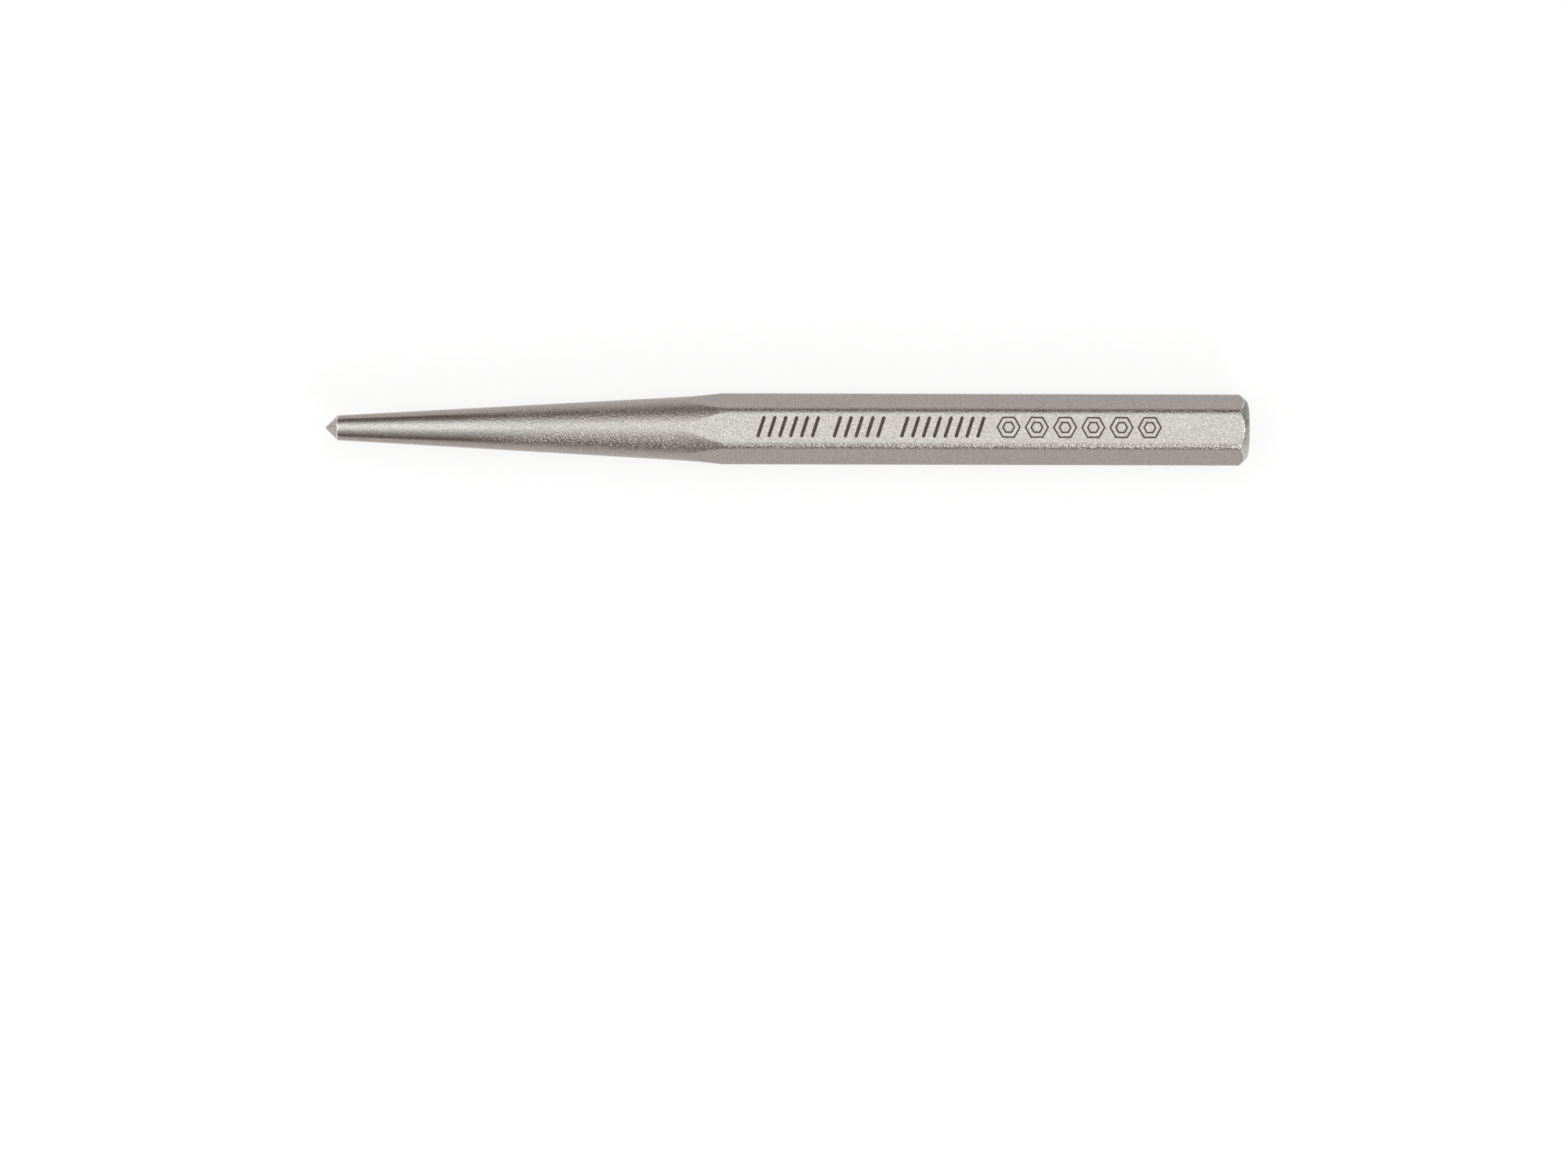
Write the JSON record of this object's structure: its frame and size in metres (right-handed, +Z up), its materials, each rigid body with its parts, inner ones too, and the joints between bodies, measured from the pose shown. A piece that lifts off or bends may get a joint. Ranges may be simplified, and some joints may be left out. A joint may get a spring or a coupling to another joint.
{
  "type": "center punch",
  "caption": "Solid hexagonal steel punch with a ground conical point, a long turned taper and a chamfered, crowned end that is struck with a hammer.",
  "frame": {"origin": "on the surface that the bottom flat rests on, under the middle of the tool's length and on its axis seen from above", "axes": "+X along the tool from the point to the struck end, +Z up and square to the flat it rests on, +Y across the corners"},
  "size_m": [0.1142, 0.0088, 0.0079],
  "materials": {
    "blasted_steel": "fine shot-blasted satin, with the point and the struck end ground bright"
  },
  "bodies": {
    "root": {"punch_body": "blasted_steel"}
  },
  "joints": []
}
